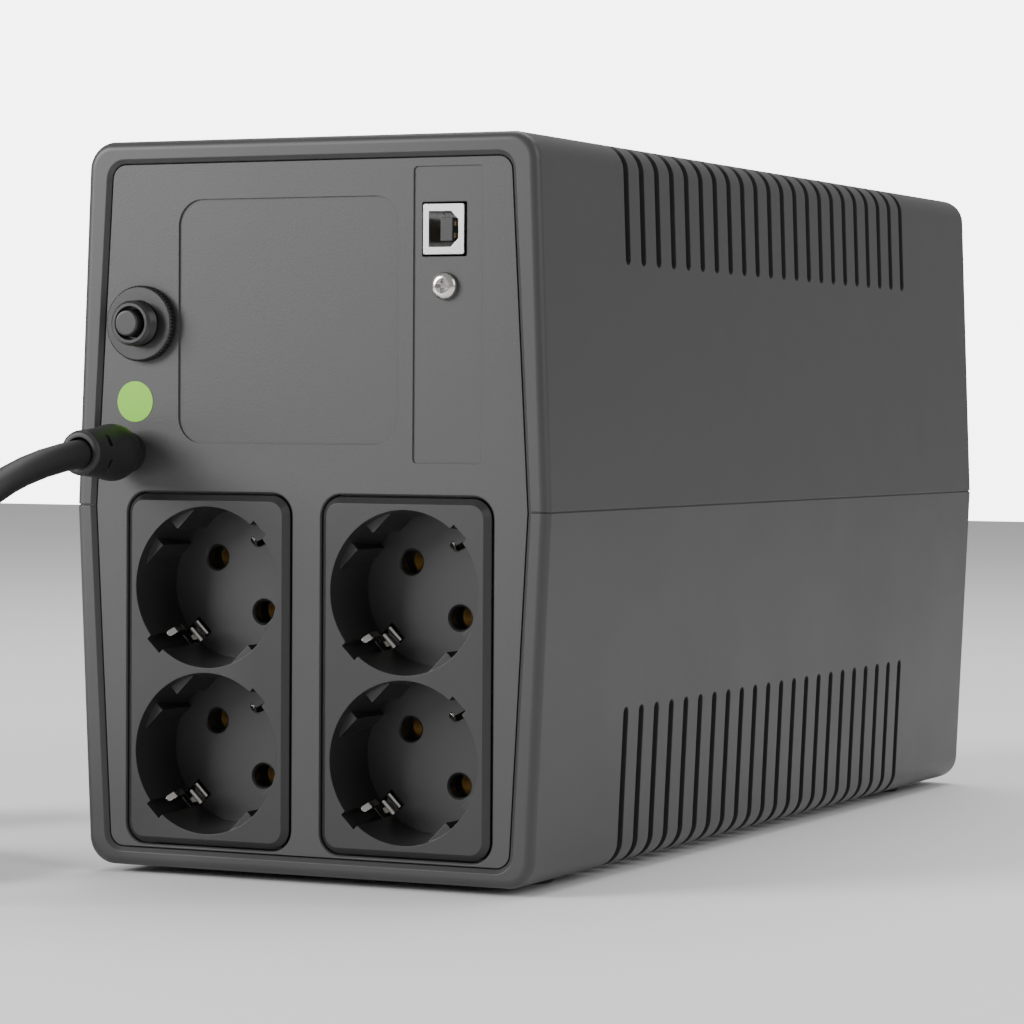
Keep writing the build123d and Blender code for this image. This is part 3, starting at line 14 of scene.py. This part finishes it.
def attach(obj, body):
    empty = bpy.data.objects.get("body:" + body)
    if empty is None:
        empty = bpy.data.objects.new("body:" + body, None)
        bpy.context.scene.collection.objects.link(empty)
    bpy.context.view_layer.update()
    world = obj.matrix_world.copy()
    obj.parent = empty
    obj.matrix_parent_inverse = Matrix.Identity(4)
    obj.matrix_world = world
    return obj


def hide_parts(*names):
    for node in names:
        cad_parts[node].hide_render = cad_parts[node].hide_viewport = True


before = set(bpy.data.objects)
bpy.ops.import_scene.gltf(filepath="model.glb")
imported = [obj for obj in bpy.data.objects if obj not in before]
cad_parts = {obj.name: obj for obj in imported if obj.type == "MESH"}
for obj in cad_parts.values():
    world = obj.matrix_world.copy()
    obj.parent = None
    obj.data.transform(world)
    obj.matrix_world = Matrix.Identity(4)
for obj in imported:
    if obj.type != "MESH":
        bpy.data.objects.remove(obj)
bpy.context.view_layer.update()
mm = 0.001
body = "case"

# %% [markdown]
# ## The camera
# A long lens far from the object keeps its edges almost parallel, as a catalogue picture does.
# The camera looks at the rear panel from a little to one side. A view direction and a roll are
# easier to read than a rotation matrix, so the direction becomes a rotation with to_track_quat.

# %% Camera
camera_place = Vector((-433.9, 957.75, 115.24)) * mm
camera_yaw, camera_pitch, camera_roll = (math.radians(a) for a in (25.065, 1.505, 0.333))
look = Vector((math.sin(camera_yaw) * math.cos(camera_pitch),
               -math.cos(camera_yaw) * math.cos(camera_pitch),
               -math.sin(camera_pitch)))
camera_data = bpy.data.cameras.new("portrait_camera")
camera_data.lens = 132.68
camera_data.clip_start = 0.05
camera = bpy.data.objects.new("portrait_camera", camera_data)
bpy.context.collection.objects.link(camera)
camera.location = camera_place
camera.rotation_mode = "QUATERNION"
camera.rotation_quaternion = Quaternion(-look, camera_roll) @ look.to_track_quat("-Z", "Y")
bpy.context.scene.camera = camera

# %% [markdown]
# ## The mains cord
# A cord is a fixed length of something flexible. It leaves its strain relief level, sags to the
# floor and is wound into a coil, with the plug at the end of the last turn. One NURBS curve of
# order 3 follows it all: its points pull the line smoothly, so no corner needs rounding. The coil's
# points come from a loop that moves the cord inwards, up and outwards again, lane by lane.

# %% The cord's route
cord_diameter = 7 * mm
cord_radius = cord_diameter / 2
coil_centre = Vector((128.0, 185.5, 0)) * mm
first_layer = 4.8 * mm
lane_radii = [45.5 * mm, 38.5 * mm, 31.5 * mm]
lead_points = [Vector(p) * mm for p in (
    (50.3, 168.25, 104.9), (50.3, 199.5, 102.3), (57.0, 222.5, 84.0), (67.5, 234.5, 58.0),
    (79.5, 241.0, 30.5), (97.0, 241.5, 12.0), (122.0, 236.5, 4.8), (143.56, 228.26, 4.8))]
tail_points = [Vector(p) * mm for p in (
    (173.5, 186.5, 11.8), (173.1, 170.5, 13.0), (171.3, 154.5, 16.0), (169.5, 138.5, 18.5))]


def eased(value, start, end):
    """A smooth step from 0 to 1 as value goes from start to end."""
    share = min(max((value - start) / (end - start), 0), 1)
    return share * share * (3 - 2 * share)


def coil_point(turn, start_angle, points_per_turn):
    """Where the cord is after that many turns: outer, middle and inner lane, up, and back out."""
    lane_step = lane_radii[0] - lane_radii[1]
    inwards = eased(turn, 0.70, 1.00) + eased(turn, 1.60, 1.90)
    outwards = eased(turn, 3.40, 3.70) + eased(turn, 4.30, 4.60)
    radius = lane_radii[0] - lane_step * (inwards - outwards)
    radius /= math.cos(math.pi / points_per_turn)
    height = first_layer + cord_diameter * eased(turn, 2.50, 2.80)
    angle = start_angle - 2 * math.pi * turn
    return coil_centre + Vector((radius * math.cos(angle), radius * math.sin(angle), height))


coil_start, coil_turns, points_per_turn = math.radians(70), 5 + 70 / 360, 16
coil_steps = round(coil_turns * points_per_turn)
coil_points = [
    coil_point(coil_turns * step / coil_steps, coil_start, points_per_turn)
    for step in range(1, coil_steps)
]

# %% The cord as a curve
cord_curve = bpy.data.curves.new("mains_cord_line", "CURVE")
cord_curve.dimensions = "3D"
cord_curve.resolution_u = 6
cord_curve.bevel_depth = 1.0
cord_curve.bevel_resolution = 5
cord_curve.use_fill_caps = True
cord_route = lead_points + coil_points + tail_points
spline = cord_curve.splines.new("NURBS")
spline.points.add(len(cord_route) - 1)
for spline_point, place in zip(spline.points, cord_route):
    spline_point.co = (*place, 1)
    spline_point.radius = cord_radius
spline.order_u = 3
spline.use_endpoint_u = True
mains_cord = bpy.data.objects.new("mains_cord_tube", cord_curve)
bpy.context.collection.objects.link(mains_cord)
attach(mains_cord, body)
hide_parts("mains_cord", "cord_coil")
cord_length = spline.calc_length()
print("cord length", round(cord_length, 3))

# %% [markdown]
# ## Floor, sky and lamps
# A plain pale floor and a white sky stand for a studio. Dark plastic is shaped by what it
# reflects, so large soft lamps do more for it than strong ones. The sky looks white but lights
# little, so that holes stay black, and the main lamp stands to one side, so that every raised
# piece has a lit side and a soft shadow.

# %% Floor
floor_size = 6.0
floor_mesh = bmesh.new()
bmesh.ops.create_grid(floor_mesh, x_segments=1, y_segments=1, size=floor_size / 2)
floor_data = bpy.data.meshes.new("studio_floor")
floor_mesh.to_mesh(floor_data)
floor_mesh.free()
floor = bpy.data.objects.new("studio_floor", floor_data)
bpy.context.collection.objects.link(floor)

# %% Sky and lamps
world = bpy.data.worlds.new("studio_sky")
world.use_nodes = True
bpy.context.scene.world = world
sky = world.node_tree.nodes["Background"]
sky.inputs["Color"].default_value = (1, 1, 1, 1)
seen_sky, lit_sky = 6.0, 0.42
seen_directly = world.node_tree.nodes.new("ShaderNodeLightPath").outputs["Is Camera Ray"]
sky_strength = world.node_tree.nodes.new("ShaderNodeMapRange")
sky_strength.inputs["To Min"].default_value = lit_sky
sky_strength.inputs["To Max"].default_value = seen_sky
world.node_tree.links.new(seen_directly, sky_strength.inputs["Value"])
world.node_tree.links.new(sky_strength.outputs["Result"], sky.inputs["Strength"])


def area_lamp(name, place, target, width, height, power):
    """A rectangular soft lamp at a place, aimed at a target."""
    data = bpy.data.lights.new(name, "AREA")
    data.shape = "RECTANGLE"
    data.size, data.size_y, data.energy = width, height, power
    lamp = bpy.data.objects.new(name, data)
    bpy.context.collection.objects.link(lamp)
    lamp.location = place
    lamp.rotation_mode = "QUATERNION"
    lamp.rotation_quaternion = (Vector(target) - Vector(place)).to_track_quat("-Z", "Y")
    return lamp


area_lamp("main_softbox", (1.25, 1.45, 0.75), (0, 0.15, 0.09), 0.9, 0.9, 42)
area_lamp("side_softbox", (-1.6, 0.2, 0.9), (0, 0, 0.09), 1.2, 1.2, 12)
area_lamp("top_softbox", (0, -0.5, 1.5), (0, 0, 0.1), 1.4, 1.0, 16)

# %% [markdown]
# ## Shared effects
# Moulded plastic is never one flat colour. Its tool leaves a fine grain, its tone drifts a little
# over a hand's breadth, and its edges are slightly round: they get a rounded normal, and their colour is painted
# lighter as a painted highlight.
# Each effect is a node group with a few named inputs, so that every material can use it with its own values.

# %% Helpers for node groups
def new_group(name, inputs, outputs):
    """An empty shader node group with its sockets, its input node and its output node."""
    group = bpy.data.node_groups.new(name, "ShaderNodeTree")
    for title, default in inputs:
        socket = group.interface.new_socket(name=title, in_out="INPUT", socket_type="NodeSocketFloat")
        socket.default_value = default
    for title, kind in outputs:
        group.interface.new_socket(name=title, in_out="OUTPUT", socket_type=kind)
    return group, group.nodes.new("NodeGroupInput"), group.nodes.new("NodeGroupOutput")


def math_node(tree, operation, first, second):
    """A Math node whose two inputs are sockets or plain numbers."""
    node = tree.nodes.new("ShaderNodeMath")
    node.operation = operation
    for socket, value in zip(node.inputs, (first, second)):
        if isinstance(value, (int, float)):
            socket.default_value = value
        else:
            tree.links.new(value, socket)
    return node.outputs[0]


def noise_node(tree, vector, scale, detail=2.0, roughness=0.5):
    """A Noise texture on a vector, with its scale as a socket or a plain number."""
    node = tree.nodes.new("ShaderNodeTexNoise")
    node.inputs["Detail"].default_value = detail
    node.inputs["Roughness"].default_value = roughness
    tree.links.new(vector, node.inputs["Vector"])
    if isinstance(scale, (int, float)):
        node.inputs["Scale"].default_value = scale
    else:
        tree.links.new(scale, node.inputs["Scale"])
    return node.outputs["Fac"]


# %% Moulded grain
def make_grain_group():
    """Fine pebbles at a given size in millimetres, and the slow drift of tone across a panel."""
    group, given, made = new_group(
        "moulded_grain",
        [("Grain size", 0.35), ("Drift size", 45.0)],
        [("Height", "NodeSocketFloat"), ("Drift", "NodeSocketFloat")])
    place = group.nodes.new("ShaderNodeTexCoord").outputs["Object"]
    pebbles = noise_node(group, place, math_node(group, "DIVIDE", 1000, given.outputs["Grain size"]), 2.5, 0.6)
    drift = noise_node(group, place, math_node(group, "DIVIDE", 1000, given.outputs["Drift size"]), 3.0, 0.6)
    group.links.new(pebbles, made.inputs["Height"])
    group.links.new(drift, made.inputs["Drift"])
    return group


grain_group = make_grain_group()


# %% Soft edges
def make_edge_group():
    """A rounded normal near every edge, and a mask that is 1 on the edges and 0 on the faces."""
    group, given, made = new_group(
        "soft_edges", [("Radius", 0.4)],
        [("Normal", "NodeSocketVector"), ("Edge", "NodeSocketFloat")])
    round_edge = group.nodes.new("ShaderNodeBevel")
    round_edge.samples = 4
    group.links.new(math_node(group, "MULTIPLY", given.outputs["Radius"], mm), round_edge.inputs["Radius"])
    flat = group.nodes.new("ShaderNodeNewGeometry").outputs["True Normal"]
    turn = group.nodes.new("ShaderNodeVectorMath")
    turn.operation = "DOT_PRODUCT"
    group.links.new(round_edge.outputs["Normal"], turn.inputs[0])
    group.links.new(flat, turn.inputs[1])
    edge = math_node(group, "MULTIPLY", math_node(group, "SUBTRACT", 1, turn.outputs["Value"]), 4)
    group.links.new(round_edge.outputs["Normal"], made.inputs["Normal"])
    group.links.new(edge, made.inputs["Edge"])
    return group


edge_group = make_edge_group()


# %% [markdown]
# ## Finishes
# Most pieces are one of a few families: grained plastic, rubber, metal or lacquered board. A
# family is one function that builds the node tree, and each finish calls it with its own tone,
# gloss, grain and edge radius.

# %% Families of finishes
def new_material(name):
    """A material with its Principled shader ready."""
    material = bpy.data.materials.new(name)
    material.use_nodes = True
    return material, material.node_tree, material.node_tree.nodes["Principled BSDF"]


def place_group(tree, group, **values):
    """A group placed in a material, with its inputs set by name."""
    node = tree.nodes.new("ShaderNodeGroup")
    node.node_tree = group
    for title, value in values.items():
        node.inputs[title.replace("_", " ")].default_value = value
    return node


def mixed_colour(tree, share, first, second):
    """A colour between two, by a mask."""
    node = tree.nodes.new("ShaderNodeMix")
    node.data_type = "RGBA"
    tree.links.new(share, node.inputs["Factor"])
    node.inputs["A"].default_value = (*first, 1)
    node.inputs["B"].default_value = (*second, 1)
    return node.outputs["Result"]


def ranged(tree, value, low, high):
    """A mask from 0 to 1 turned into a value from low to high."""
    node = tree.nodes.new("ShaderNodeMapRange")
    tree.links.new(value, node.inputs["Value"])
    node.inputs["From Min"].default_value = 0.3
    node.inputs["From Max"].default_value = 0.7
    node.inputs["To Min"].default_value = low
    node.inputs["To Max"].default_value = high
    return node.outputs["Result"]


def grained(name, tone, gloss, grain=0.35, depth=0.02, edge=0.4, tint=(1, 1, 1), metal=0.0, spread=0.12,
            edge_highlight_gain=1.25, specular=0.5):
    """A moulded, cast or plated finish: grained, slightly uneven, with soft edges whose colour is painted lighter
    as a painted highlight.
    """
    material, tree, shader = new_material(name)
    texture = place_group(tree, grain_group, Grain_size=grain)
    edges = place_group(tree, edge_group, Radius=edge)
    dark = [tone * t * (1 - spread) for t in tint]
    light = [tone * t * (1 + spread) for t in tint]
    face = mixed_colour(tree, texture.outputs["Drift"], dark, light)
    # Painted highlight: on the edges the colour goes to a lighter tone, so that the edges look lit.
    painted_edge_highlight = tree.nodes.new("ShaderNodeMix")
    painted_edge_highlight.data_type = "RGBA"
    tree.links.new(edges.outputs["Edge"], painted_edge_highlight.inputs["Factor"])
    tree.links.new(face, painted_edge_highlight.inputs["A"])
    painted_edge_highlight.inputs["B"].default_value = (*[min(tone * t * edge_highlight_gain, 1) for t in tint], 1)
    tree.links.new(painted_edge_highlight.outputs["Result"], shader.inputs["Base Color"])
    tree.links.new(ranged(tree, texture.outputs["Drift"], gloss - 0.03, gloss + 0.03), shader.inputs["Roughness"])
    shader.inputs["Metallic"].default_value = metal
    shader.inputs["Specular IOR Level"].default_value = specular
    bump = tree.nodes.new("ShaderNodeBump")
    bump.inputs["Strength"].default_value = 1.0
    bump.inputs["Distance"].default_value = depth * mm
    tree.links.new(texture.outputs["Height"], bump.inputs["Height"])
    tree.links.new(edges.outputs["Normal"], bump.inputs["Normal"])
    tree.links.new(bump.outputs["Normal"], shader.inputs["Normal"])
    return material


def paint(material, *names):
    """Gives a material to CAD nodes, whose meshes stay as they are."""
    for name in names:
        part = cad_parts[name]
        part.data.materials.clear()
        part.data.materials.append(material)


# %% [markdown]
# ## Plastic, rubber and metal of the case
# The case and the rear panel are the same black plastic, with a fine spark-eroded grain. The
# sockets are moulded smoother and darker, so that they read as separate parts.

# %% Case plastics
paint(grained("case_plastic", 0.035, 0.42, grain=0.30, depth=0.012, edge=0.35), "upper_shell", "lower_shell")
paint(grained("panel_plastic", 0.045, 0.45, grain=0.45, depth=0.03, edge=0.2), "rear_panel")
paint(grained("socket_plastic", 0.02, 0.36, grain=0.5, depth=0.008, edge=0.25),
      "outlet_frame_left", "outlet_frame_right")
paint(grained("socket_floor_plastic", 0.022, 0.4, grain=0.5, depth=0.012, edge=0.2),
      "socket_floors_left", "socket_floors_right")
paint(grained("front_plastic", 0.012, 0.12, grain=0.8, depth=0.002, edge=0.3, specular=0.6), "front_panel")
paint(grained("button_plastic", 0.02, 0.2, grain=0.6, depth=0.003, edge=0.3), "power_button")
paint(grained("breaker_plastic", 0.016, 0.35, grain=0.4, depth=0.01, edge=0.2), "breaker_body", "breaker_nut",
      "reset_plunger")
paint(grained("tie_plastic", 0.015, 0.5, grain=0.3, depth=0.02, edge=0.2), "cord_tie")
paint(grained("gland_rubber", 0.012, 0.5, grain=0.5, depth=0.02, edge=0.3), "cord_gland", "plug_body")
paint(grained("foot_rubber", 0.02, 0.75, grain=0.6, depth=0.04, edge=0.4), "rubber_feet", "battery_pads")
cord_rubber = grained("cord_rubber", 0.014, 0.48, grain=0.6, depth=0.02, edge=0.2)
mains_cord.data.materials.append(cord_rubber)

# %% Metals
paint(grained("nickel_plate", 0.62, 0.16, grain=0.5, depth=0.004, edge=0.15, tint=(1, 0.97, 0.92), metal=1.0,
              spread=0.05), "plug_pins", "plug_earth_strips", "earth_springs_left", "earth_springs_right",
      "port_screw")
paint(grained("port_steel", 0.66, 0.28, grain=0.3, depth=0.004, edge=0.15, metal=1.0, spread=0.06), "usb_shell",
      "comms_bracket")
paint(grained("zinc_steel", 0.55, 0.35, grain=0.8, depth=0.006, edge=0.2, tint=(1, 0.98, 0.94), metal=1.0),
      "case_screws", "small_screws", "outlet_screws", "battery_strap", "transformer_base", "transformer_bolts")
paint(grained("contact_brass", 0.62, 0.3, grain=0.8, depth=0.004, edge=0.15, tint=(1, 0.78, 0.42), metal=1.0),
      "pin_contacts_left", "pin_contacts_right", "breaker_tabs", "battery_terminals", "usb_contacts")
paint(grained("sink_aluminium", 0.7, 0.32, grain=0.6, depth=0.006, edge=0.2, metal=1.0), "heat_sinks")
paint(grained("core_iron", 0.12, 0.5, grain=1.2, depth=0.03, edge=0.3, metal=0.6), "transformer_core")

# %% Inner plastics and boards
paint(grained("housing_plastic", 0.5, 0.5, tint=(1, 0.98, 0.92)), "contact_housing_left",
      "contact_housing_right", "contact_cover_left", "contact_cover_right")
paint(grained("battery_plastic", 0.03, 0.45, grain=0.5), "batteries")
paint(grained("winding_tape", 0.55, 0.35, tint=(1, 0.78, 0.2)), "transformer_windings")
paint(grained("board_lacquer", 0.16, 0.3, tint=(0.12, 1, 0.35), depth=0.004), "main_board", "front_board",
      "comms_board")
paint(grained("part_plastic", 0.02, 0.4), "power_transistors", "buzzer", "power_switch", "usb_tongue")
paint(grained("relay_plastic", 0.12, 0.3, tint=(0.1, 0.3, 1)), "relays")
paint(grained("capacitor_sleeve", 0.05, 0.25, tint=(0.2, 0.4, 1)), "capacitors")
paint(grained("fuse_glass", 0.7, 0.1), "fuse")
paint(grained("window_plastic", 0.02, 0.08, grain=2.0, depth=0.0005, edge=0.2, specular=0.6), "display_window")
paint(grained("display_glass", 0.1, 0.15, tint=(0.8, 1, 0.9)), "display")
paint(grained("lamp_plastic", 0.6, 0.2, tint=(0.9, 1, 0.9)), "status_lamps")
paint(grained("sticker_paper", 0.6, 0.4, grain=0.2, depth=0.004, edge=0.1, tint=(0.36, 1, 0.02), spread=0.04),
      "test_sticker")

# %% Floor finish
floor_finish, floor_tree, floor_shader = new_material("floor_paint")
floor_drift = noise_node(floor_tree, floor_tree.nodes.new("ShaderNodeTexCoord").outputs["Object"], 3.0)
floor_tree.links.new(mixed_colour(floor_tree, floor_drift, (0.9, 0.9, 0.9), (0.93, 0.93, 0.93)),
                     floor_shader.inputs["Base Color"])
floor_shader.inputs["Roughness"].default_value = 0.6
floor.data.materials.append(floor_finish)
